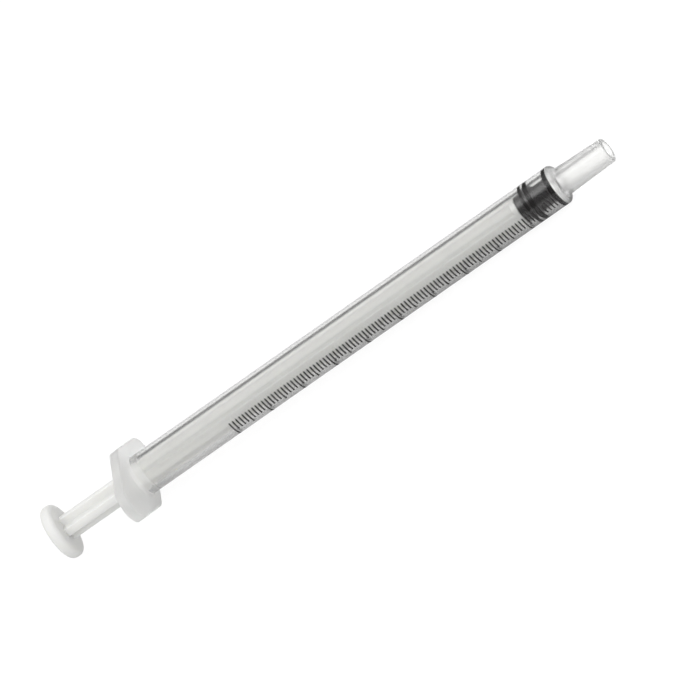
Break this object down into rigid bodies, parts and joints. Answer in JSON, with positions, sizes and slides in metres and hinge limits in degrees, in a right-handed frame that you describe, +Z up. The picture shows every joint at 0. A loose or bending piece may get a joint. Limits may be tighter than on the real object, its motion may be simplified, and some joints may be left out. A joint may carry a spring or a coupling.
{
  "type": "syringe",
  "caption": "Slim three-piece 1 ml syringe with a clear graduated barrel, slip-fit nozzle, tapered finger flange, dark rubber stopper and fluted white plunger, lying on its side.",
  "frame": {"origin": "on the surface that the syringe lies on, under the middle of its box", "axes": "+X along the syringe towards the nozzle, +Z up, +Y across it; the axis itself slopes down towards the nozzle by about 1.5 degrees, as the syringe lies"},
  "size_m": [0.1022, 0.0228, 0.0105],
  "materials": {
    "clear_plastic": "clear polypropylene, polished mould",
    "white_plastic": "translucent white polypropylene, satin",
    "rubber": "dark siliconised rubber, soft sheen",
    "scale_ink": "black printing ink"
  },
  "bodies": {
    "barrel": {"barrel": "clear_plastic"},
    "stopper": {"stopper": "rubber"},
    "plunger_rod": {"plunger_rod": "white_plastic"}
  },
  "joints": [
    {"name": "plunger_slide", "type": "slide", "parent": "barrel", "child": "stopper", "axis": [-0.9996, 0, 0.0268], "range_m": [0, 0.0704]},
    {"name": "rod_spin", "type": "hinge", "parent": "stopper", "child": "plunger_rod", "pos_m": [0.03537, 0, 0.00334], "axis": [0.9996, 0, -0.0268], "continuous": true}
  ]
}
